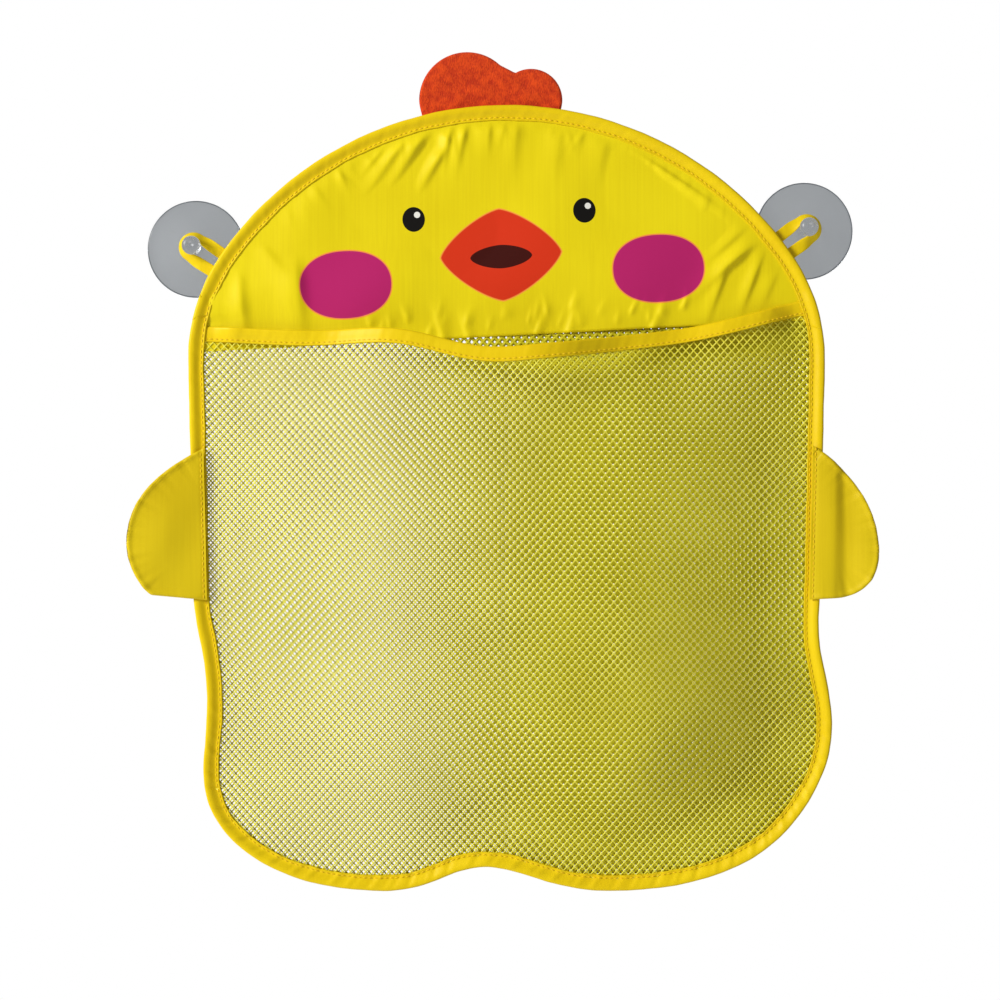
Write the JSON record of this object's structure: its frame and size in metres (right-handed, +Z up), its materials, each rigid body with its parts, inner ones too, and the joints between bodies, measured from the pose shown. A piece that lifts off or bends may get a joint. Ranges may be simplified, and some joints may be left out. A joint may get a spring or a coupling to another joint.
{
  "type": "bath toy organizer",
  "caption": "Chick-shaped hanging net bag for bath toys: domed cloth face panel over an open net pocket, felt comb, cloth wings and tape loops on suction cups.",
  "frame": {"origin": "on the wall plane, on the middle line of the bag, midway in height between the axes of the two suction cups", "axes": "+Z up, +Y into the wall, the front of the bag faces -Y, +X to the viewer's right"},
  "size_m": [0.4104, 0.0485, 0.4617],
  "materials": {
    "panel_cloth": "yellow plain-weave polyester with a soft satin sheen",
    "wing_cloth": "yellow plain-weave polyester, two layers turned out",
    "net": "yellow knitted polyester mesh",
    "tape": "yellow folded binding tape with a topstitch",
    "felt": "orange-red needled felt",
    "clear_vinyl": "clear soft vinyl, slightly grey"
  },
  "bodies": {
    "bag": {"face_panel": "panel_cloth", "back_net": "net", "dome_binding": "tape", "skirt_binding": "tape"},
    "pocket": {"front_net": "net", "pocket_hem": "tape"},
    "comb": {"comb": "felt"},
    "left_wing": {"left_wing_back": "wing_cloth", "left_wing_front": "wing_cloth"},
    "right_wing": {"right_wing_back": "wing_cloth", "right_wing_front": "wing_cloth"},
    "left_loop": {"left_loop": "tape"},
    "right_loop": {"right_loop": "tape"},
    "left_cup": {"left_suction_cup": "clear_vinyl"},
    "right_cup": {"right_suction_cup": "clear_vinyl"}
  },
  "joints": [
    {"name": "pocket_open", "type": "hinge", "parent": "bag", "child": "pocket", "pos_m": [0, -0.0155, -0.348], "axis": [1, 0, 0], "range_deg": [0, 12], "stiffness_Nm_per_rad": 1.5, "deforming": ["front_net", "pocket_hem"]},
    {"name": "comb_bend", "type": "hinge", "parent": "bag", "child": "comb", "pos_m": [-0.0087, -0.0107, 0.0715], "axis": [1, 0, 0], "range_deg": [-12, 60], "stiffness_Nm_per_rad": 0.03, "deforming": ["comb"]},
    {"name": "left_wing_flap", "type": "hinge", "parent": "bag", "child": "left_wing", "pos_m": [-0.16351, -0.01758, -0.19927], "axis": [-0.0227, 0, 0.9997], "range_deg": [0, 90], "stiffness_Nm_per_rad": 0.006},
    {"name": "right_wing_flap", "type": "hinge", "parent": "bag", "child": "right_wing", "pos_m": [0.16351, -0.01758, -0.19927], "axis": [-0.0227, 0, -0.9997], "range_deg": [0, 90], "stiffness_Nm_per_rad": 0.006},
    {"name": "left_loop_swing", "type": "hinge", "parent": "bag", "child": "left_loop", "pos_m": [-0.15973, -0.0112, -0.01375], "axis": [0.549, 0, 0.8358], "range_deg": [-30, 60], "stiffness_Nm_per_rad": 0.03, "deforming": ["left_loop"]},
    {"name": "right_loop_swing", "type": "hinge", "parent": "bag", "child": "right_loop", "pos_m": [0.15323, -0.0112, -0.00447], "axis": [0.5976, 0, -0.8018], "range_deg": [-30, 60], "stiffness_Nm_per_rad": 0.03, "deforming": ["right_loop"]},
    {"name": "left_cup_spin", "type": "hinge", "parent": "left_loop", "child": "left_cup", "pos_m": [-0.17294, -0.0112, -0.00508], "axis": [0, -1, 0], "continuous": true},
    {"name": "right_cup_spin", "type": "hinge", "parent": "right_loop", "child": "right_cup", "pos_m": [0.1659, -0.0112, 0.00498], "axis": [0, -1, 0], "continuous": true}
  ]
}
